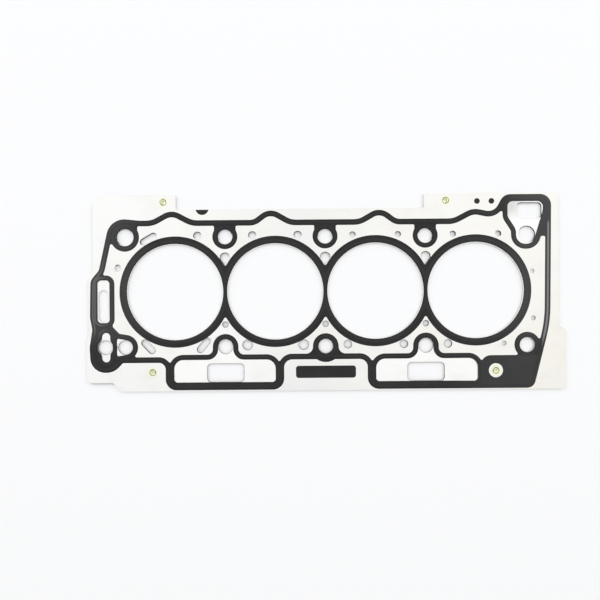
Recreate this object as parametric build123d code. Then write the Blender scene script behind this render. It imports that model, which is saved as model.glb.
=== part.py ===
from build123d import *
from math import atan2, degrees, hypot
import os

# Cylinder head gasket for an in-line four-cylinder engine, lying flat, in millimetres.
# X runs along the cylinder row and Y across it. The origin is the middle of the bolt grid,
# on the surface that the gasket lies on. +Z is the cylinder head side.

# Cylinders and bolts
cylinder_count = 4
bore_radius = 42.15
bore_web = 3.7
bolt_row_margin = 6.25
bolt_hole_radius = 6.3
dowel_hole_radius = 7.4
last_column_shift = 1.0

# Sheets, from the bottom up: bead layer, carrier, stopper foil, bead layer
bead_layer_thickness = 0.25
carrier_thickness = 0.70
foil_thickness = 0.10
foil_width = 3.0
layer_step = 0.2

# Raised beads
bead_height = 0.20
bead_width = 2.4
bead_flank_angle = 75
bore_bead_land = 0.9
bore_bead_width = 3.2
ring_bead_width = 2.0

# Printed seals
seal_thickness = 0.05
seal_setback = 0.15
bore_seal_width = 6.75
line_width = 5.0
frame_width = 4.6
seal_corner_radius = 1.2
ring_neck_inset = 1.5

# Eyelet rivets
rivet_hole_radius = 2.0
rivet_wall = 0.3
rivet_flange_radius = 3.1
rivet_flange_thickness = 0.35

# Seal line and frames, measured from the bolt rows and the end columns
top_line_offset = 12.05
bottom_line_offset = 9.0
left_line_offset = 11.2
lower_edge_offset = 35.4
bolt_ring_width = 4.5
dowel_ring_width = 5.0
lower_ring_width = 4.8
centre_bulge_width = 7.5
centre_flare_radius = 6.0

# Lower windows, one on each side of the middle, with an arch round a bolt
window_outer_reach = 45.3
window_inner_reach = 43.8
window_top_offset = 11.4
window_depth = 19.8
window_top_radius = 8.0
window_bottom_radius = 3.0
arch_radius = 6.65
arch_foot_radius = 9.5
drain_length = 32.4
drain_height = 16.3
drain_offset = 22.9
drain_corner_radius = 3.5

# Windows at the left end
slot_offset = 19.0
slot_width = 10.2
slot_top = 10.5
slot_bottom = -26.6
slot_corner_radius = 3.0
metering_slot_width = 9.2
metering_slot_top = 2.2
metering_slot_bottom = -26.0
keyhole_offset = 17.6
keyhole_radius = 6.8
keyhole_lobe_width = 7.3
keyhole_lobe_reach = 12.9
keyhole_blend_radius = 5.0
keyhole_port_radius = 6.3
end_window_width = 15.2
end_window_reach = 7.6
end_window_corner_radius = 1.5

# Window at the top right
corner_window_reach = 29.4
dowel_window_reach = 8.0
corner_port_length = 21.4
corner_port_height = 14.0

# Coolant holes
top_hole_spread = 24.1
top_hole_rise = 0.8
wide_top_hole_radius = 3.4
narrow_top_hole_radius = 2.55
bottom_hole_spread = 19.4
bottom_hole_rise = 1.6
wide_bottom_hole_radius = 4.5
narrow_bottom_hole_radius = 3.55
small_hole_radius = 2.05
slot_hole_radius = 3.0
lower_web_hole_radius = 2.6
lower_web_hole_rise = 19.6
upper_web_hole_radius = 4.3
upper_web_hole_rise = 18.6
left_end_hole_radius = 3.0

# Printed marks
panel_length = 52.7
panel_height = 10.7
panel_offset = 22.5
panel_corner_radius = 2.5
dot_radius = 2.5
dot_pitch = 12.7
dot_rise = 29.7
half_moon_radius = 5.8
half_moon_rise = 25.0

# Sheet edge, measured from the bolt rows
ear_rise = 36.7
edge_rise = 23.9
edge_drop = 38.8

# Places that follow from the sizes
cylinder_pitch = 2 * bore_radius + bore_web
bolt_row = bore_radius + bolt_row_margin
left = -cylinder_pitch * cylinder_count / 2
right = -left
seal_radius = bore_radius + bore_seal_width
carrier_bore_radius = bore_radius - layer_step
bead_hole_radius = bolt_hole_radius + layer_step
bead_dowel_radius = dowel_hole_radius + layer_step

bottom_layer_z = rivet_flange_thickness
carrier_z = bottom_layer_z + bead_layer_thickness
foil_z = carrier_z + carrier_thickness
top_layer_z = foil_z + foil_thickness
print_z = top_layer_z + bead_layer_thickness
overall_height = print_z + rivet_flange_thickness


def bolt_x(column):
    """X of a bolt column, counted from the left end; the last one stands a little further out."""
    shift = last_column_shift if column == cylinder_count else 0
    return left + column * cylinder_pitch + shift


def bore_x(cylinder):
    """X of a cylinder, counted from the left end."""
    return left + (cylinder + 0.5) * cylinder_pitch


def rounded_face(*corners):
    """Face inside an outline given as corners of x, y and corner radius."""
    points = [(x, y) for x, y, radius in corners]
    radii = [radius for x, y, radius in corners]
    return make_face(FilletPolyline(*points, radius=radii, close=True))


def disc(x, y, radius):
    return Pos(x, y) * Circle(radius)


def joined(shapes):
    """All the shapes as one sketch or part."""
    whole = shapes[0]
    for shape in shapes[1:]:
        whole = whole + shape
    return whole


def filled_corners(sketch, radius):
    """The sketch with its inner corners rounded."""
    return offset(offset(sketch, radius), -radius)


def band(sketch, width):
    """Strip of even width that runs along the outline of a sketch."""
    return offset(sketch, width / 2) - offset(sketch, -width / 2)


def capsule(x1, y1, x2, y2, radius):
    """Slot with round ends about two points."""
    length = hypot(x2 - x1, y2 - y1)
    turn = degrees(atan2(y2 - y1, x2 - x1))
    middle = Pos((x1 + x2) / 2, (y1 + y2) / 2)
    return middle * Rot(0, 0, turn) * SlotCenterToCenter(length, 2 * radius)


def bores(radius):
    """One disc for each cylinder."""
    return joined([disc(bore_x(i), 0, radius) for i in range(cylinder_count)])


def joined_bores(radius):
    """The discs round the cylinders with the corners between them rounded."""
    return filled_corners(bores(radius), seal_corner_radius)


# Outlines of the sheet and of the seal line


def sheet_outline():
    """Edge of all the sheets, clockwise from the top left ear."""
    top = bolt_row
    bottom = -bolt_row
    return rounded_face(
        (left - 28.1, top + ear_rise, 10),
        (bolt_x(0) + 45, top + ear_rise, 1.5),
        (bolt_x(0) + 45, top + edge_rise, 1.5),
        (bolt_x(3) - 1, top + edge_rise, 1.5),
        (bolt_x(3) - 1, top + ear_rise, 1.5),
        (right + 28.8, top + ear_rise, 2.5),
        (right + 28.8, bottom + 14.4, 2),
        (right + 34.5, bottom + 14.4, 2),
        (right + 34.5, bottom - edge_drop, 2),
        (left - 3.4, bottom - edge_drop, 2),
        (left - 11, bottom - 31.6, 2),
        (left - 33.8, bottom - 31.6, 5),
        (left - 33.8, bottom + 6.4, 4),
        (left - 32.2, bottom + 12.4, 4),
        (left - 32.2, slot_top + 0.8, 2.5),
        (left - 28.1, slot_top + 6.6, 2.5),
    )


def top_line_corners():
    """Seal line over the cylinders: a hump beside each one, mirrored about the middle."""
    y = bolt_row + top_line_offset
    first, second, third, last = (bore_x(i) for i in range(cylinder_count))
    return [
        (first - 19.9, y, 20),
        (first - 2.8, y + 9.4, 12.3),
        (first + 15, y, 20),
        (second - 18.1, y, 12),
        (second - 4.4, y + 10.3, 11.6),
        (second + 13.6, y, 18),
        (third - 13.6, y, 18),
        (third + 4.4, y + 10.3, 11.6),
        (third + 18.1, y, 12),
        (last - 18.8, y, 20),
        (last - 1.8, y + 8.9, 14),
    ]


def outer_line():
    """Face inside the seal line that follows the whole edge, clockwise from the left side."""
    top = bolt_row
    bottom = -bolt_row
    mid_y = bottom - bottom_line_offset
    low_y = bottom - lower_edge_offset
    left_y = bottom - left_line_offset
    left_window = bolt_x(1) + window_inner_reach + line_width
    right_window = bolt_x(3) - window_inner_reach - line_width
    outer_x = bolt_x(1) - window_outer_reach - line_width
    return rounded_face(
        (left - 27.9, slot_top - 0.7, 8),
        (left - 20.6, slot_top + 7.7, 10),
        (left - 10.8, top + 14.5, 13.3),
        (left + 13, top + top_line_offset, 40),
        *top_line_corners(),
        (right - 26.1, top + 16.9, 12),
        (right - 17.2, top + 33, 7),
        (right + 20.4, top + 33, 7.2),
        (right + 18.9, bottom + 20.4, 110),
        (right + 4.6, low_y, 5),
        (right_window, low_y, 7.5),
        (right_window, mid_y, 9.5),
        (left_window, mid_y, 9.5),
        (left_window, low_y, 7.5),
        (outer_x, low_y, 7),
        (outer_x, left_y, 8.5),
        (left - 3.2, left_y, 3),
        (left - 11.6, left_y - 8.4, 12),
        (left - 27.9, left_y - 8.4, 10.8),
        (left - 29.0, bottom, 20),
        (left - 26.4, bottom + 15.9, 12),
        (left - 28.5, slot_bottom + 4.6, 20),
    )


# Windows in the bead layers, which show the carrier, and the smaller ports in the carrier


def lower_window():
    """Window left of the middle, with its arch round the second bolt of the bottom row."""
    x = bolt_x(1)
    top = -bolt_row - window_top_offset
    bottom = top - window_depth
    opening = rounded_face(
        (x - window_outer_reach, top, window_top_radius),
        (x + window_inner_reach, top, window_top_radius),
        (x + window_inner_reach, bottom, window_bottom_radius),
        (x - window_outer_reach, bottom, window_bottom_radius),
    )
    bay_height = window_top_offset + window_top_radius
    bay = Pos(x, -bolt_row - bay_height / 2) * Rectangle(2 * arch_radius, bay_height)
    arch = disc(x, -bolt_row, arch_radius)
    return filled_corners(opening + bay + arch, arch_foot_radius)


def slot_window():
    return Pos(left - slot_offset, (slot_top + slot_bottom) / 2) * RectangleRounded(
        slot_width, slot_top - slot_bottom, slot_corner_radius
    )


def keyhole_window():
    x = left - keyhole_offset
    lobe = Pos(x + 0.6, -bolt_row) * Rot(0, 0, 90)
    lobes = lobe * SlotOverall(2 * keyhole_lobe_reach, keyhole_lobe_width)
    return filled_corners(disc(x, -bolt_row, keyhole_radius) + lobes, keyhole_blend_radius)


def end_window():
    """Window that hugs the left bolt of the bottom row and widens to the left."""
    corner_x = left - end_window_reach + end_window_corner_radius
    corner_rise = end_window_width / 2 - end_window_corner_radius
    bolt_side = disc(left, -bolt_row, bead_hole_radius)
    upper = disc(corner_x, -bolt_row + corner_rise, end_window_corner_radius)
    lower = disc(corner_x, -bolt_row - corner_rise, end_window_corner_radius)
    return make_hull(bolt_side.edges() + upper.edges() + lower.edges())


def corner_window():
    """Pear-shaped window round the right bolt of the top row."""
    top = bolt_row + corner_window_reach
    foot = bolt_row - dowel_window_reach
    return rounded_face(
        (right - 15.3, top, 4.5),
        (right + 16.2, top, 5),
        (right + 15.8, top - 8.5, 20),
        (right + 0.85 * dowel_window_reach, foot, dowel_window_reach),
        (right - dowel_window_reach, foot, dowel_window_reach),
        (right - dowel_window_reach, bolt_row + 4.6, 10),
        (right - 15.3, top - 13.5, 6),
    )


def windows():
    """Every window of a bead layer."""
    window = lower_window()
    return [
        window,
        mirror(window, about=Plane.YZ),
        slot_window(),
        keyhole_window(),
        end_window(),
        corner_window(),
    ]


def carrier_ports():
    """The carrier's own openings inside the windows."""
    drain = RectangleRounded(drain_length, drain_height, drain_corner_radius)
    metering_slot = Pos(left - slot_offset, (metering_slot_top + metering_slot_bottom) / 2)
    corner_port_y = bolt_row + corner_window_reach - 1.5 - corner_port_height / 2
    return [
        Pos(bolt_x(1), -bolt_row - drain_offset) * drain,
        Pos(bolt_x(3), -bolt_row - drain_offset) * drain,
        metering_slot
        * Rot(0, 0, 90)
        * SlotOverall(metering_slot_top - metering_slot_bottom, metering_slot_width),
        disc(left - keyhole_offset, -bolt_row, keyhole_port_radius),
        Pos(right + 3.5, corner_port_y)
        * RectangleRounded(corner_port_length, corner_port_height, drain_corner_radius),
    ]


# Holes through every sheet


def coolant_holes():
    """Coolant holes, trimmed where they would cut under the seal round the bores."""
    top = bolt_row + top_hole_rise
    bottom = -bolt_row + bottom_hole_rise
    holes = [
        disc(left - 6.1, 21.2, left_end_hole_radius),
        disc(right + 5.9, 16.3, small_hole_radius),
        disc(right + 6.5, -24.9, small_hole_radius),
        disc(right - top_hole_spread, top, narrow_top_hole_radius),
        disc(right - bottom_hole_spread, bottom, small_hole_radius),
        capsule(left + 16.7, bolt_row - 4.4, left + 25.2, bolt_row + 0.6, slot_hole_radius),
        capsule(left + 17.1, 3.8 - bolt_row, left + 23.4, -2.8 - bolt_row, slot_hole_radius),
        capsule(
            bolt_x(1) - 22.1, -2.1 - bolt_row, bolt_x(1) - 16.1, 5.1 - bolt_row, slot_hole_radius
        ),
        disc(bolt_x(1) + bottom_hole_spread, bottom, wide_bottom_hole_radius),
        disc(bolt_x(2) - bottom_hole_spread, bottom, wide_bottom_hole_radius),
        disc(bolt_x(2) + bottom_hole_spread, bottom, narrow_bottom_hole_radius),
        disc(bolt_x(3) - bottom_hole_spread, bottom, narrow_bottom_hole_radius),
        disc(bolt_x(3) + bottom_hole_spread, bottom, narrow_bottom_hole_radius),
    ]
    for column in range(1, cylinder_count):
        x = bolt_x(column)
        for side in (-1, 1):
            hole_x = x + side * top_hole_spread
            radius = wide_top_hole_radius if hole_x < 0 else narrow_top_hole_radius
            holes.append(disc(hole_x, top, radius))
        holes.append(disc(x, lower_web_hole_rise - bolt_row, lower_web_hole_radius))
        drop_y = bolt_row - upper_web_hole_rise
        holes.append(disc(x, drop_y, upper_web_hole_radius))
        holes.append(
            Pos(x, drop_y - upper_web_hole_radius)
            * Rectangle(2 * upper_web_hole_radius, 2 * upper_web_hole_radius)
        )
    return joined(holes) - bores(seal_radius + 2 * seal_setback)


def bolt_holes(radius, dowel_radius):
    """Bolt holes in two rows; the two end bolts of the top row pass through dowels."""
    holes = []
    for column in range(cylinder_count + 1):
        at_end = column in (0, cylinder_count)
        holes.append(disc(bolt_x(column), bolt_row, dowel_radius if at_end else radius))
        holes.append(disc(bolt_x(column), -bolt_row, radius))
    return joined(holes)


def rivet_places():
    """Name, x and y of each rivet."""
    return [
        ("rivet_top_left", left + 34, bolt_row + 30.6),
        ("rivet_top_right", bolt_x(3) + 18.2, bolt_row + 30.6),
        ("rivet_bottom_left", left + 24, -bolt_row - 22),
        ("rivet_bottom_right", right - 26.7, -bolt_row - 22.3),
    ]


def rivet_holes():
    return joined([disc(x, y, rivet_hole_radius) for name, x, y in rivet_places()])


# Printed seals and the beads under them


def bolt_rings():
    """X, y and seal radius of each bolt hole that has a seal ring of its own."""
    rings = [(bolt_x(i), bolt_row, bead_hole_radius + bolt_ring_width) for i in (1, 2, 3)]
    rings.append((left, bolt_row, bead_dowel_radius + dowel_ring_width))
    rings += [(bolt_x(i), -bolt_row, bead_hole_radius + lower_ring_width) for i in (2, 4)]
    return rings


def ring_necks():
    """Print that joins each ring of the top row to the line above it."""
    top_rings = [ring for ring in bolt_rings() if ring[1] > 0]
    return [
        Pos(x, y + top_line_offset / 2) * Rectangle(2 * (radius - ring_neck_inset), top_line_offset)
        for x, y, radius in top_rings
    ]


def left_patch():
    """Filled print between the slot and the keyhole."""
    return rounded_face(
        (left - 27.5, slot_bottom + 4, 0),
        (left - 11.6, slot_bottom + 4, 0),
        (left - 10.9, -bolt_row + 18, 0),
        (left - 5.5, -bolt_row + 12.4, 0),
        (left - 8.6, -bolt_row - 11.6, 0),
        (left - 14, -bolt_row - 18.6, 0),
        (left - 27, -bolt_row - 18.6, 0),
    )


def corner_patch():
    """Filled print between the pear-shaped window and the right side line."""
    return rounded_face(
        (right + 8, bolt_row - 1.4, 0),
        (right + 18.8, bolt_row - 1.4, 0),
        (right + 20, bolt_row + 25, 0),
        (right + 14, bolt_row + 25, 0),
    )


def right_patch():
    """Filled print round the bottom right rivet."""
    top = -bolt_row - bottom_line_offset
    bottom = -bolt_row - lower_edge_offset
    return rounded_face(
        (bolt_x(3) + 48, top, 9),
        (right + 10, top, 0),
        (right + 3, bottom, 0),
        (bolt_x(3) + 48, bottom, 0),
    )


def centre_bolt_seal():
    """Ring round the middle bolt of the bottom row, flared into the line below it."""
    y = -bolt_row
    line_y = y - bottom_line_offset
    ring = disc(0, y, bead_hole_radius + lower_ring_width)
    line = Pos(0, line_y) * Rectangle(cylinder_pitch / 2, line_width)
    bulge = disc(0, y, bead_hole_radius + centre_bulge_width)
    below = Pos(0, line_y - bolt_row / 2) * Rectangle(cylinder_pitch / 2, bolt_row)
    return filled_corners(ring + line, centre_flare_radius) + (bulge & below)


def perimeter_seal():
    """Print along the edge and round the windows and bolt holes."""
    openings = windows()
    parts = [band(outer_line(), line_width)]
    parts += [offset(opening, frame_width) for opening in openings]
    parts += [disc(x, y, radius) for x, y, radius in bolt_rings()]
    parts += ring_necks()
    parts += [left_patch(), corner_patch(), right_patch(), centre_bolt_seal()]
    seal = filled_corners(joined(parts), seal_corner_radius)
    for opening in openings:
        seal -= offset(opening, seal_setback)
    seal -= bolt_holes(bead_hole_radius + seal_setback, bead_dowel_radius + seal_setback)
    name, x, y = rivet_places()[-1]
    return seal - disc(x, y, 2 * rivet_flange_radius)


def bore_seal():
    """Print round the four bores."""
    return joined_bores(seal_radius) - bores(bore_radius + seal_setback)


def raised(strip):
    """Ridge with sloping flanks over a strip."""
    return extrude(strip, bead_height, taper=bead_flank_angle)


def bore_beads():
    """Bead that runs round all four bores and merges in the webs between them."""
    inner = bore_radius + bore_bead_land
    return raised(joined_bores(inner + bore_bead_width) - bores(inner))


def perimeter_beads():
    """Bead under the seal line, under each window frame and round each bolt ring."""
    ridges = [raised(band(outer_line(), bead_width))]
    for opening in windows():
        ridges.append(raised(band(offset(opening, frame_width / 2), bead_width)))
    for x, y, radius in bolt_rings():
        middle = radius - bolt_ring_width / 2
        ridges.append(raised(band(disc(x, y, middle), ring_bead_width)))
    return joined(ridges)


def embossed(sketch, thickness, ridges):
    """Thin sheet with beads raised on its upper side and hollow below."""
    sheet = extrude(sketch, thickness)
    return sheet + Pos(0, 0, thickness) * ridges - ridges


# Pieces


def bead_sheet():
    """Outline, bores, windows and holes of both bead layers."""
    return (
        sheet_outline()
        - bores(bore_radius)
        - joined(windows())
        - bolt_holes(bead_hole_radius, bead_dowel_radius)
        - coolant_holes()
        - rivet_holes()
    )


def carrier_layer():
    sheet = (
        sheet_outline()
        - bores(carrier_bore_radius)
        - joined(carrier_ports())
        - bolt_holes(bolt_hole_radius, dowel_hole_radius)
        - coolant_holes()
        - rivet_holes()
    )
    return Pos(0, 0, carrier_z) * extrude(sheet, carrier_thickness)


def stopper_foil():
    ring = joined_bores(carrier_bore_radius + foil_width) - bores(carrier_bore_radius)
    return Pos(0, 0, foil_z) * extrude(ring, foil_thickness)


def eyelet_rivet(x, y):
    """Hollow rivet with a rolled flange on each side."""
    bore = rivet_hole_radius - rivet_wall
    edge = rivet_flange_thickness / 3
    with BuildPart() as rivet:
        with BuildSketch(Plane.XZ):
            with Locations((bore, 0)):
                Rectangle(rivet_wall, overall_height, align=(Align.MIN, Align.MIN))
                Rectangle(
                    rivet_flange_radius - bore,
                    rivet_flange_thickness,
                    align=(Align.MIN, Align.MIN),
                )
            with Locations((bore, overall_height)):
                Rectangle(
                    rivet_flange_radius - bore,
                    rivet_flange_thickness,
                    align=(Align.MIN, Align.MAX),
                )
        revolve(axis=Axis.Z)
        faces = rivet.faces().sort_by(Axis.Z)
        chamfer(faces[0].edges() + faces[-1].edges(), edge)
    return Pos(x, y) * rivet.part


def printed(sketch):
    """Flat mark printed on the upper side."""
    return Pos(0, 0, print_z) * extrude(sketch, seal_thickness)


def label_panel():
    panel = RectangleRounded(panel_length, panel_height, panel_corner_radius)
    return printed(Pos(0, -bolt_row - panel_offset) * panel)


def thickness_dot(step):
    return printed(disc(bolt_x(3) + 45.7 + step * dot_pitch, bolt_row + dot_rise, dot_radius))


def half_moon():
    """Round mark cut by the sheet's upper edge."""
    mark = disc(left + 68.1, bolt_row + half_moon_rise, half_moon_radius)
    cut_y = bolt_row + edge_rise - seal_setback
    below = Pos(left + 68.1, cut_y - half_moon_radius) * Rectangle(
        4 * half_moon_radius, 2 * half_moon_radius
    )
    return printed(mark & below)


def build_pieces():
    """Every piece by name, in place."""
    around_bores = bore_beads()
    around_edge = perimeter_beads()
    bead_layer = embossed(bead_sheet(), bead_layer_thickness, around_bores + around_edge)
    bore_print = embossed(bore_seal(), seal_thickness, around_bores)
    edge_print = embossed(perimeter_seal(), seal_thickness, around_edge)
    head_side = Pos(0, 0, top_layer_z)
    head_print = Pos(0, 0, print_z)
    block_side = Pos(0, 0, carrier_z)
    block_print = Pos(0, 0, bottom_layer_z)
    pieces = {
        "top_bead_layer": head_side * bead_layer,
        "carrier_layer": carrier_layer(),
        "stopper_foil": stopper_foil(),
        "bottom_bead_layer": block_side * mirror(bead_layer, about=Plane.XY),
        "top_bore_seal": head_print * bore_print,
        "top_perimeter_seal": head_print * edge_print,
        "bottom_bore_seal": block_print * mirror(bore_print, about=Plane.XY),
        "bottom_perimeter_seal": block_print * mirror(edge_print, about=Plane.XY),
        "label_panel": label_panel(),
        "thickness_dot_1": thickness_dot(0),
        "thickness_dot_2": thickness_dot(1),
        "half_moon_mark": half_moon(),
    }
    for name, x, y in rivet_places():
        pieces[name] = eyelet_rivet(x, y)
    return pieces


os.makedirs("parts", exist_ok=True)
for name, piece in build_pieces().items():
    export_step(piece, f"parts/{name}.step")
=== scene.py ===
# %% [markdown]
# # A cylinder head gasket in Blender
#
# The real part is a sandwich of thin steel sheets that seals an engine's cylinder head to its
# block. Its two outer sheets carry raised beads, and a black rubber coating is printed over each
# bead. The sheets come from the CAD frame at their true size, so this script gives them their
# finishes, adds the rolled eyelets that hold them together, and lights the whole like a part laid
# on a white table.

# %% Load the frame
import math

import bpy
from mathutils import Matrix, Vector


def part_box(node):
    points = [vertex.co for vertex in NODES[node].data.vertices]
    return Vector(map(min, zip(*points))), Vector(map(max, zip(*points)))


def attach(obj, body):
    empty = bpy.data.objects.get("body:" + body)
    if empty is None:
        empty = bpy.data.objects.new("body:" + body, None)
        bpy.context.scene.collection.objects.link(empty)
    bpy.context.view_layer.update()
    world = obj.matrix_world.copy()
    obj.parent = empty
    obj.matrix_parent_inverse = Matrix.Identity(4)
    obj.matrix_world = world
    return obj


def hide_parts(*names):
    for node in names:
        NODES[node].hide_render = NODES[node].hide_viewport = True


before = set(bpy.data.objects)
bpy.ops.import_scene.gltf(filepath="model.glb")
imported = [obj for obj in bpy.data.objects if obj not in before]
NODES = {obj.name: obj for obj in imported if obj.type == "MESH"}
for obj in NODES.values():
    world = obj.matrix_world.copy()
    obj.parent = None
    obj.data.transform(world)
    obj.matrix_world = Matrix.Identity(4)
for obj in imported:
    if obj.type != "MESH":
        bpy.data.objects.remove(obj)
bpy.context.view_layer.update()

MM = 0.001
for node in bpy.context.selected_objects:
    node.select_set(False)

# %% [markdown]
# ## The camera
#
# A camera hangs over the gasket and looks straight down. In the picture the part is turned a
# little anticlockwise, so the camera is turned the other way by the same angle. A long lens from
# far off could frame the same view, but it would look almost straight through every hole. This one
# is fairly close, so that holes far from the middle show a wall on their outer side, as they seem
# to in the picture. Its lens follows from its height over the sheet and the width of the view.

# %% Camera
VIEW_X, VIEW_Y = -22.37 * MM, -7.74 * MM
VIEW_WIDTH = 527.1 * MM
VIEW_TURN = math.atan(0.0074)
CAMERA_HEIGHT = 350 * MM
FACE_Z = 1.65 * MM
MIDDLE = 1.0 * MM

camera = bpy.data.objects.new("camera", bpy.data.cameras.new("camera"))
bpy.context.scene.collection.objects.link(camera)
camera.location = (VIEW_X, VIEW_Y, FACE_Z + CAMERA_HEIGHT)
camera.rotation_euler = (0, 0, -VIEW_TURN)
camera.data.lens = camera.data.sensor_width * CAMERA_HEIGHT / VIEW_WIDTH
camera.data.clip_start = 0.01
bpy.context.scene.camera = camera
bpy.context.scene.view_settings.view_transform = "Standard"
print("lens in mm:", round(camera.data.lens, 2))

# %% [markdown]
# ## The table and the light
#
# A white table fills the picture, in a pale room. The room alone could light it all, but steel
# that mirrors the same tone on every side shows no beads. So two broad soft boxes hang overhead,
# with a narrow gap between them where a real camera would be. A flat sheet of steel mirrors them
# as a pale tone, and the flanks of the beads that run along the gasket mirror the dimmer room in
# front. Two low soft keys shine from the back left and the back right. Seen from above they leave
# no glare on flat steel, and they put a thin shade inside the upper rim of each hole. They are
# suns, so their light is equally strong all over the table. From lower down the steel mirrors the
# lamps, and parts of it turn as pale as the table.

# %% Table
TABLE_WHITE = (0.965, 0.97, 0.98, 1)

bpy.ops.mesh.primitive_plane_add(size=8, location=(0, 0, 0))
table = bpy.context.object
table.name = "table"

table_finish = bpy.data.materials.new("table_white")
table_finish.use_nodes = True
table_shader = table_finish.node_tree.nodes["Principled BSDF"]
table_shader.inputs["Base Color"].default_value = TABLE_WHITE
table_shader.inputs["Roughness"].default_value = 0.9
table_shader.inputs["Specular IOR Level"].default_value = 0.1
table.data.materials.append(table_finish)
print("table width in m:", round(table.dimensions.x, 2))

# %% Room and lamps
ROOM_STRENGTH = 0.60
BOX_LENGTH = 3.0
BOX_DEPTH = 2.6
BOX_HEIGHT = 1.5
BOX_SHIFT = 0.5
BOX_GAP = 0.08
BOX_RADIANCE = 0.51
KEY_STRENGTH = 0.46
KEY_SOFTNESS = 30
KEY_TILT = 67
KEY_TURN = 40

world = bpy.data.worlds.new("room")
world.use_nodes = True
room = world.node_tree.nodes["Background"]
room.inputs["Color"].default_value = (1, 1, 1, 1)
room.inputs["Strength"].default_value = ROOM_STRENGTH
bpy.context.scene.world = world


def hang(lamp, place, turn):
    """Puts a lamp in the studio."""
    stand = bpy.data.objects.new(lamp.name, lamp)
    bpy.context.scene.collection.objects.link(stand)
    stand.location = place
    stand.rotation_euler = turn
    return stand


def soft_box(name, side):
    """A wide white box over the left (side -1) or right (side 1) of the table that faces down."""
    lamp = bpy.data.lights.new(name, "AREA")
    lamp.shape = "RECTANGLE"
    lamp.size = BOX_LENGTH
    lamp.size_y = BOX_DEPTH
    lamp.energy = BOX_RADIANCE * math.pi * BOX_LENGTH * BOX_DEPTH
    return hang(lamp, (side * (BOX_GAP + BOX_LENGTH) / 2, BOX_SHIFT, BOX_HEIGHT), (0, 0, 0))


def key(name, side):
    """A low soft sun from the back left (side -1) or the back right (side 1)."""
    lamp = bpy.data.lights.new(name, "SUN")
    lamp.energy = KEY_STRENGTH
    lamp.angle = math.radians(KEY_SOFTNESS)
    turn = math.radians(KEY_TURN if side > 0 else 180 - KEY_TURN)
    return hang(lamp, (side, 0.5, 1), (0, math.radians(KEY_TILT), turn))


soft_box("left_box", -1)
soft_box("right_box", 1)
key("left_key", -1)
key("right_key", 1)
print("lamps:", [lamp.name for lamp in bpy.data.lights])

# %% [markdown]
# ## Shader maths
#
# Every finish below mixes a few patterns. Its nodes could be added and linked one by one, but then
# the idea gets lost among the links. Here one small class holds an output of a shader node and
# lets it be added, subtracted and multiplied like a number, so that a finish reads as a formula.
# Its `add` method makes any other node: settings first, then the values or wires of the sockets.


# %% Wires
class Wire:
    """One output of a shader node, which Python's operators can work with."""

    def __init__(self, tree, socket=None):
        self.tree = tree
        self.socket = socket

    def add(self, kind, settings=None, values=None, output=0):
        """Adds a node and returns one of its outputs."""
        node = self.tree.nodes.new(kind)
        for name, value in (settings or {}).items():
            if name == "stops":
                ramp = node.color_ramp
                while len(ramp.elements) < len(value):
                    ramp.elements.new(0.5)
                for element, (place, colour) in zip(ramp.elements, value):
                    element.position = place
                    element.color = colour
            else:
                setattr(node, name, value)
        for name, value in (values or {}).items():
            if isinstance(value, Wire):
                self.tree.links.new(value.socket, node.inputs[name])
            else:
                node.inputs[name].default_value = value
        return Wire(self.tree, node.outputs[output])

    def maths(self, operation, *values):
        return self.add("ShaderNodeMath", {"operation": operation}, dict(enumerate(values)))

    def __add__(self, other):
        return self.maths("ADD", self, other)

    __radd__ = __add__

    def __sub__(self, other):
        return self.maths("SUBTRACT", self, other)

    def __rsub__(self, other):
        return self.maths("SUBTRACT", other, self)

    def __mul__(self, other):
        return self.maths("MULTIPLY", self, other)

    __rmul__ = __mul__

    def size(self):
        """The number without its sign."""
        return self.maths("ABSOLUTE", self)

    def step(self, low, high):
        """0 below low and 1 above high, with a smooth rise between."""
        return self.add(
            "ShaderNodeMapRange",
            {"interpolation_type": "SMOOTHSTEP"},
            {"Value": self, "From Min": low, "From Max": high},
        )

    def between(self, low, high):
        """A pattern of 0 to 1 stretched to run from low to high."""
        return self * (high - low) + low

    def tint(self, first, second):
        """A colour that runs from first to second as the wire runs from 0 to 1."""
        values = {"Factor": self, 6: first, 7: second}
        return self.add("ShaderNodeMix", {"data_type": "RGBA"}, values, output=2)

    def place(self):
        """Where a point lies on the part, in metres."""
        return self.add("ShaderNodeTexCoord", output=3)

    def parts(self):
        """X, Y and Z of a vector as three wires."""
        node = self.add("ShaderNodeSeparateXYZ", None, {0: self}).socket.node
        return [Wire(self.tree, out) for out in node.outputs]

    def noise(self, place, scale, detail=3.0, stretch=(1, 1, 1)):
        """Cloudy pattern of 0 to 1. Scale counts its patches in a metre."""
        spread = self.add(
            "ShaderNodeMapping", {"vector_type": "POINT"}, {"Vector": place, "Scale": stretch}
        )
        return self.add(
            "ShaderNodeTexNoise", None, {"Vector": spread, "Scale": scale, "Detail": detail}
        )


def finish_on(name):
    """A new material with its main shader and a wire to build its patterns from."""
    material = bpy.data.materials.new(name)
    material.use_nodes = True
    tree = material.node_tree
    return material, tree.nodes["Principled BSDF"], Wire(tree)


def feed(shader, **wires):
    """Runs wires into the sockets of a shader, with _ for a space in a socket's name."""
    for name, wire in wires.items():
        wire.tree.links.new(wire.socket, shader.inputs[name.replace("_", " ")])


# %% [markdown]
# ## Rolled steel
#
# The sheets are stainless steel, rolled in long strips. Rolling leaves a very fine grain along
# the strip. The grain, a few fine scratches and faint cloudy stains are guesses from other steel of
# this kind, because the picture can't show them. The grain is a noise squeezed across the rolling
# direction. It goes mostly into roughness and a slight bump, and the stains go into colour and
# roughness.
#
# In the picture the edges of most holes are dark, with a thin line round them. Here that dark tone
# is painted shade, for the shaded walls of the holes. The rims could be bevelled in the mesh, but
# the CAD pieces keep their shape, so a bevel node only rounds them for the shader. How far the
# rounded surface leans tells edges from faces. The bores and the outline have pale edges instead,
# so a mask by place keeps the painted shade off them.

# %% Where the edges are pale
HALF_PITCH = 44 * MM


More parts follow.
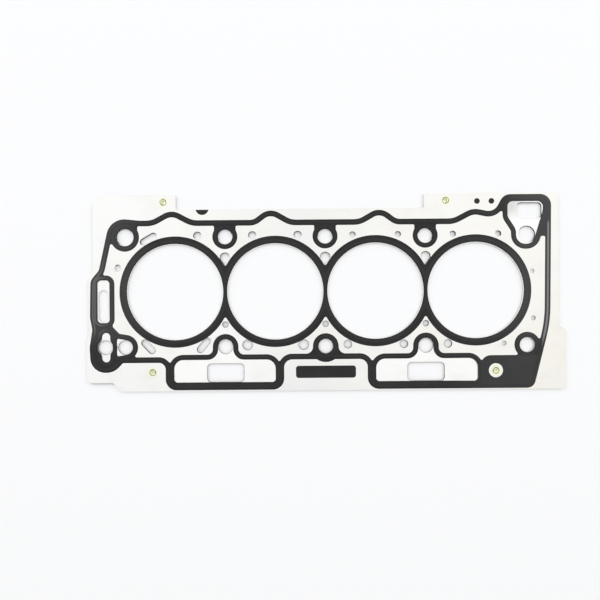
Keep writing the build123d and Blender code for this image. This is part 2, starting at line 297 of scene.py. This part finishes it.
def mm(*sizes):
    """Sizes given in millimetres as metres."""
    return tuple(size * MM for size in sizes)


BORE_EDGE = mm(42.6, 43.2)
CORNER_SIDE = mm(140, 150)
CORNER_RISE = 5 * MM
INNER_TOP = mm(72.5, 73.5)
INNER_BOTTOM = mm(80, 81)
INNER_SIDE = mm(206, 207)


def reach_from(spot, x, y):
    """How far a point is from a spot, in metres."""
    across, along = x - spot[0], y - spot[1]
    return across.maths("SQRT", across * across + along * along)


def bright_edges(x, y):
    """1 in the bores and round the outside of the sheet, 0 at every other hole."""
    across = HALF_PITCH - x.maths("PINGPONG", x, HALF_PITCH)
    in_bore = 1 - reach_from((0, 0), across, y).step(*BORE_EDGE)
    top = y - x.step(*CORNER_SIDE) * CORNER_RISE
    above = top.step(*INNER_TOP)
    below = (0 - y).step(*INNER_BOTTOM)
    beside = x.size().step(*INNER_SIDE)
    outside = above.maths("MAXIMUM", above, below.maths("MAXIMUM", below, beside))
    return outside.maths("MAXIMUM", outside, in_bore)


# %% [markdown]
# ## Tones by place
#
# Some patterns on the steel lie where the picture shows them. A warm tinge to the right has no
# known cause. A yellow-green tinge round the eyelets is painted light, bounced off their plating. A
# grey patch in the corner window and a thin one at the far left are painted shade. The rims in the
# lower right corner are paler, with no known cause, so the painted rim shade is left off there.
# These tones could be painted by hand, but ranges in millimetres are easier to read and to change.
#
# In the upper half the rims are darkest on the side away from the middle. That is probably the
# wall of each hole, seen aslant and in shade. The finish only imitates it with painted shade, by
# adding how far a rim leans out to how much it faces up, so it stays where it is when the camera
# moves.

# %% Rolled steel
RIM_RADIUS = 0.65 * MM
RIM_SHADE_PULL = 2.3
SHADE_PULL_RANGE = mm(-30, 10)
SIDE_REACH = 120 * MM
BACK_REACH = 30 * MM
FACE_RANGE = (0.86, 0.99)
EDGE_ROUGH = 0.65
PALE_CORNER_SIDE = mm(105, 125)
PALE_CORNER_FRONT = mm(5, 15)
PALE_CORNER = 0.65
WARM_RANGE = mm(-60, 210)
SHADE_SPOT = mm(160, 76)
SHADE_RANGE = mm(4, 18)
LEFT_SHADE_RANGE = mm(160, 185)
LEFT_SHADE_SHARE = 0.2
CORNERS = ("top_left", "top_right", "bottom_left", "bottom_right")
EYELET_BOXES = [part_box(f"rivet_{end}") for end in CORNERS]
EYELET_BOUNCE_TINGE = (0.86, 0.90, 0.52, 1)
BOUNCE_RANGE = mm(2.5, 6.5)
BOUNCE_SHARE = 0.35


def rolled_steel(name, pale, warm, edge, smooth, rough, painted_shade_share=0):
    material, shader, pen = finish_on(name)
    place = pen.place()
    x, y = place.parts()[:2]
    grain = pen.noise(place, 1, 4, (60, 2600, 2600))
    scratches = pen.noise(place, 1, 2, (14, 900, 900)).step(0.62, 0.74)
    clouds = pen.noise(place, 14, 4)
    stains = pen.noise(place, 55, 5, (1, 1.4, 1)).step(0.45, 0.75)
    specks = pen.noise(place, 900, 2).step(0.70, 0.78)
    rounded = pen.add("ShaderNodeBevel", {"samples": 8}, {"Radius": RIM_RADIUS})
    lean_x, lean_y, upright = rounded.parts()
    # Painted shade: a rim on the side away from the middle counts as leaning more, so it turns
    # darker.
    outward = lean_x * x * (1 / SIDE_REACH) + lean_y * y * (1 / BACK_REACH)
    wall_shade_pull = y.step(*SHADE_PULL_RANGE) * RIM_SHADE_PULL
    facing = (upright.size() + outward * wall_shade_pull).step(*FACE_RANGE)
    corner = x.step(*PALE_CORNER_SIDE) * (0 - y).step(*PALE_CORNER_FRONT) * PALE_CORNER
    pale_rims = corner.maths("MAXIMUM", corner, bright_edges(x, y))
    facing = facing.maths("MAXIMUM", facing, pale_rims)
    warmth = clouds.step(0.35, 0.68) * 0.5 + x.step(*WARM_RANGE) * 0.5
    tone = warmth.tint(pale, warm)
    # Painted light: a yellow-green tinge round each eyelet, as if bounced off its plating.
    for low, high in EYELET_BOXES:
        spot = ((low[0] + high[0]) / 2, (low[1] + high[1]) / 2)
        bounce = 1 - reach_from(spot, x, y).step(*BOUNCE_RANGE)
        tone = (bounce * BOUNCE_SHARE).tint(tone, EYELET_BOUNCE_TINGE)
    # Painted shade: a grey patch in the corner window and a thin one at the far left.
    grey = 1 - reach_from(SHADE_SPOT, x, y).step(*SHADE_RANGE)
    painted_shade = (grey + (0 - x).step(*LEFT_SHADE_RANGE) * LEFT_SHADE_SHARE) * painted_shade_share
    stained_and_shaded = (stains * 0.03 + specks * 0.04 + grain * 0.02 + painted_shade).tint(tone, edge)
    # Rims and walls that don't face up take the dark tone: painted shade for the shaded hole walls.
    colour = facing.tint(edge, stained_and_shaded)
    sheen = grain.between(smooth, rough) + stains * 0.05 - scratches * 0.05
    bump = pen.add(
        "ShaderNodeBump",
        None,
        {"Strength": 0.12, "Distance": 0.00002, "Height": grain + scratches * 0.5},
    )
    feed(shader, Base_Color=colour, Roughness=sheen + (1 - facing) * EDGE_ROUGH, Normal=bump)
    shader.inputs["Metallic"].default_value = 1.0
    return material


# %% The two steels
# The third colour is the dark tone of the painted shade, which stains and specks lean to as well.
BEAD_LAYER_STEEL = rolled_steel(
    "bead_layer_steel",
    (0.880, 0.884, 0.876, 1),
    (0.865, 0.845, 0.790, 1),
    (0.04, 0.04, 0.04, 1),
    0.26,
    0.38,
)
CARRIER_STEEL = rolled_steel(
    "carrier_steel",
    (0.935, 0.935, 0.925, 1),
    (0.925, 0.917, 0.900, 1),
    (0.04, 0.04, 0.04, 1),
    0.28,
    0.40,
    painted_shade_share=0.28,
)
print("finishes:", BEAD_LAYER_STEEL.name, CARRIER_STEEL.name)

# %% [markdown]
# ## Printed rubber
#
# The black seals are a rubber paint, as a rule printed through a mesh and baked on. It is dark
# grey more than black, with a soft sheen. A faint weave from the mesh, a fine uneven skin and faint
# cloudy patches are guesses from other prints of this kind, because the picture can't show them.
# The weave could be modelled, but it is so fine that a bump is enough. How far a point stands off
# the middle of the gasket tells the crest of a bead from the flat.
#
# In the picture the crest is a little paler, most along the right edge and less along the left,
# and so are the prints at both ends and the black patch at the lower right. On the crest that is a
# painted highlight, here a tone by place. The paler ends and patch have no known cause, and here
# they are a tone by place too.

# %% Printed rubber
SEAL_RANGE = mm(0.72, 0.89)
MESH_PITCH = 0.35 * MM
HIGHLIGHT_RIGHT = mm(189, 192)
HIGHLIGHT_LEAN_RANGE = mm(20, 50)
HIGHLIGHT_LEAN = 4 * MM
HIGHLIGHT_TOP = mm(57, 62)
HIGHLIGHT_LEFT = mm(190, 200)
HIGHLIGHT_BOTTOM = mm(-42, -30)
END_SIDE = mm(150, 180)
END_FRONT = mm(35, 50)
RIGHT_RANGE = mm(80, 200)
PATCH_SIDE = mm(126, 130)
PATCH_FRONT = mm(56, 59)
DUST_AND_HIGHLIGHT_GREY = (0.25, 0.25, 0.25, 1)


def printed_rubber(name, dark, light):
    material, shader, pen = finish_on(name)
    place = pen.place()
    x, y, z = place.parts()
    across = pen.maths("SINE", x * (math.tau / MESH_PITCH))
    along = pen.maths("SINE", y * (math.tau / MESH_PITCH))
    weave = (across * along).between(0.5, 1.0)
    patches = pen.noise(place, 45, 4).step(0.3, 0.75)
    orange_peel = pen.noise(place, 1500, 3)
    dust = pen.noise(place, 2200, 2).step(0.72, 0.8)
    crest = (z - MIDDLE).size().step(*SEAL_RANGE)
    right = (x - y.step(*HIGHLIGHT_LEAN_RANGE) * HIGHLIGHT_LEAN).step(*HIGHLIGHT_RIGHT)
    right = right * (1 - y.step(*HIGHLIGHT_TOP))
    left = (0 - x).step(*HIGHLIGHT_LEFT) * y.step(*HIGHLIGHT_BOTTOM)
    # Painted highlight: a paler crest along the right edge and, weaker, along the left.
    painted_highlight = crest * (right + left * 0.38)
    ends = x.size().step(*END_SIDE) * (1 - (0 - y).step(*END_FRONT))
    patch = x.step(*PATCH_SIDE) * (0 - y).step(*PATCH_FRONT) * (1 - crest)
    # Paler prints at both ends, a little towards the right and on the patch: a tone by place.
    paler_by_place = ends * 0.09 + x.step(*RIGHT_RANGE) * 0.03 + patch * 0.055
    # The crest is a little paler everywhere, as a painted highlight.
    tone = (patches * 0.35 + orange_peel * 0.25 + crest * 0.4).tint(dark, light)
    colour = (dust * 0.25 + painted_highlight * 0.7 + paler_by_place).tint(tone, DUST_AND_HIGHLIGHT_GREY)
    sheen = patches.between(0.50, 0.42) + orange_peel * 0.08 - crest * 0.10
    bump = pen.add(
        "ShaderNodeBump",
        None,
        {"Strength": 0.25, "Distance": 0.00002, "Height": orange_peel + weave * 0.4},
    )
    feed(shader, Base_Color=colour, Roughness=sheen, Normal=bump)
    shader.inputs["Specular IOR Level"].default_value = 0.3
    return material


SEAL_RUBBER = printed_rubber("seal_rubber", (0.008, 0.008, 0.008, 1), (0.021, 0.021, 0.022, 1))
MARK_INK = printed_rubber("mark_ink", (0.010, 0.010, 0.011, 1), (0.022, 0.022, 0.024, 1))
print("finishes:", SEAL_RUBBER.name, MARK_INK.name)

# %% [markdown]
# ## Plated eyelets
#
# Small steel eyelets hold the sheets together at the ears. In the picture their lips look olive,
# like a passivated zinc plating. Such a plating shifts a little in hue, so a broad noise moves it,
# and a fine one dulls the shine. The flare inside is made paler, with a hint of yellow-green. Its
# paleness is painted light, for the bright table seen through the eyelet and the light bounced
# inside it. Lips and flare could have a material each, but the change would then follow the edges
# of faces. One material tells them apart by their distance from the middle of the height, with a
# soft change.


# %% Plating
LIP_RANGE = mm(0.84, 0.92)


def plating(name):
    material, shader, pen = finish_on(name)
    place = pen.place()
    z = place.parts()[2]
    hue = pen.noise(place, 520, 3).step(0.40, 0.60)
    dull = pen.noise(place, 2500, 3)
    lip = (z - MIDDLE).size().step(*LIP_RANGE)
    olive = hue.tint((0.15, 0.17, 0.05, 1), (0.44, 0.45, 0.20, 1))
    # The pale flare is painted light, for the bright table and the light bounced inside the eyelet.
    colour = lip.tint((0.96, 0.98, 0.62, 1), olive)
    bump = pen.add(
        "ShaderNodeBump", None, {"Strength": 0.2, "Distance": 0.00003, "Height": dull}
    )
    feed(shader, Base_Color=colour, Roughness=dull.between(0.22, 0.42), Normal=bump)
    shader.inputs["Metallic"].default_value = 1.0
    return material


PLATED_ZINC = plating("plated_zinc")
print("finish:", PLATED_ZINC.name)

# %% [markdown]
# ## Finishes on the sheets
#
# The sheets, the seals and the printed marks keep the shape that they have in the CAD. Each could
# have a material of its own, but like pieces are made of the same stuff, so they share one, and a
# change to the steel or the rubber reaches them all.

# %% Dress the CAD pieces
DRESS = {
    "top_bead_layer": BEAD_LAYER_STEEL,
    "bottom_bead_layer": BEAD_LAYER_STEEL,
    "carrier_layer": CARRIER_STEEL,
    "stopper_foil": CARRIER_STEEL,
    "top_bore_seal": SEAL_RUBBER,
    "top_perimeter_seal": SEAL_RUBBER,
    "bottom_bore_seal": SEAL_RUBBER,
    "bottom_perimeter_seal": SEAL_RUBBER,
    "label_panel": MARK_INK,
    "thickness_dot_1": MARK_INK,
    "thickness_dot_2": MARK_INK,
    "half_moon_mark": MARK_INK,
}
for name, finish in DRESS.items():
    slots = NODES[name].material_slots
    for index in range(len(slots)):
        slots[index].material = finish
    print(name, "has", len(slots), "slot")

# %% [markdown]
# ## The eyelets
#
# An eyelet starts as a short tube. A cone-shaped tool flares each end, and the rim curls over into
# a round lip that grips the sheets. The CAD gives it square steps, so a rounder one stands in its
# place here. It could be spun from a drawn section. Extruding a ring of points was chosen because
# every station is then just a radius and a height. The ring starts at the inside of the tube and
# goes up the flare and over the top lip, down the outside, round the bottom lip and back, and the
# last ring is bridged to the first.

# %% The section of an eyelet
RING_POINTS = 48
FLARE_POINTS = 4
LIP_POINTS = 8
BORE_RADIUS = 1.7
SHANK_RADIUS = 2.0
CROWN_RADIUS = 2.5
LIP_RADIUS = 3.1
LIP_THICKNESS = 0.35
TOTAL_HEIGHT = 2.0
BORE_END = 0.2
SMOOTH_ANGLE = math.radians(40)


def lip_stations():
    """Radius and height, in mm, round the upper half of an eyelet's section."""
    foot = TOTAL_HEIGHT - LIP_THICKNESS
    stations = [(BORE_RADIUS, foot - BORE_END)]
    for step in range(FLARE_POINTS):
        part = step / FLARE_POINTS
        radius = BORE_RADIUS + (CROWN_RADIUS - BORE_RADIUS) * part
        stations.append((radius, foot + LIP_THICKNESS * part))
    for step in range(LIP_POINTS + 1):
        turn = math.pi / 2 * (1 - step / LIP_POINTS)
        radius = CROWN_RADIUS + (LIP_RADIUS - CROWN_RADIUS) * math.cos(turn)
        stations.append((radius, foot + LIP_THICKNESS * math.sin(turn)))
    stations.append((SHANK_RADIUS, foot))
    return stations


print("stations in the upper half:", len(lip_stations()))


# %% Eyelets
def eyelet(name, node):
    """A rolled eyelet in the place of a CAD rivet."""
    low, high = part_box(node)
    x, y = (low[0] + high[0]) / 2, (low[1] + high[1]) / 2
    upper = lip_stations()
    lower = [(radius, TOTAL_HEIGHT - height) for radius, height in reversed(upper)]
    stations = upper + lower
    radius, height = stations[0]
    bpy.ops.mesh.primitive_circle_add(
        vertices=RING_POINTS, radius=radius * MM, location=(x, y, height * MM)
    )
    ring = bpy.context.object
    ring.name = name
    bpy.ops.object.mode_set(mode="EDIT")
    bpy.ops.mesh.select_mode(type="EDGE")
    bpy.ops.mesh.select_all(action="SELECT")
    for next_radius, next_height in stations[1:]:
        bpy.ops.mesh.extrude_region_move(
            TRANSFORM_OT_translate={"value": (0, 0, (next_height - height) * MM)}
        )
        ratio = next_radius / radius
        bpy.ops.transform.resize(
            value=(ratio, ratio, 1), center_override=(x, y, next_height * MM)
        )
        radius, height = next_radius, next_height
    bpy.ops.mesh.select_all(action="DESELECT")
    bpy.ops.mesh.select_non_manifold()
    bpy.ops.mesh.bridge_edge_loops()
    bpy.ops.mesh.select_all(action="SELECT")
    bpy.ops.mesh.normals_make_consistent(inside=False)
    bpy.ops.object.mode_set(mode="OBJECT")
    bpy.ops.object.transform_apply(location=True, rotation=True, scale=True)
    bpy.ops.object.shade_smooth_by_angle(angle=SMOOTH_ANGLE)
    ring.data.materials.append(PLATED_ZINC)
    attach(ring, "root")
    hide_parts(node)
    ring.select_set(False)
    print(name, "has", len(ring.data.polygons), "faces")
    return ring


for corner in CORNERS:
    eyelet(f"eyelet_{corner}", f"rivet_{corner}")
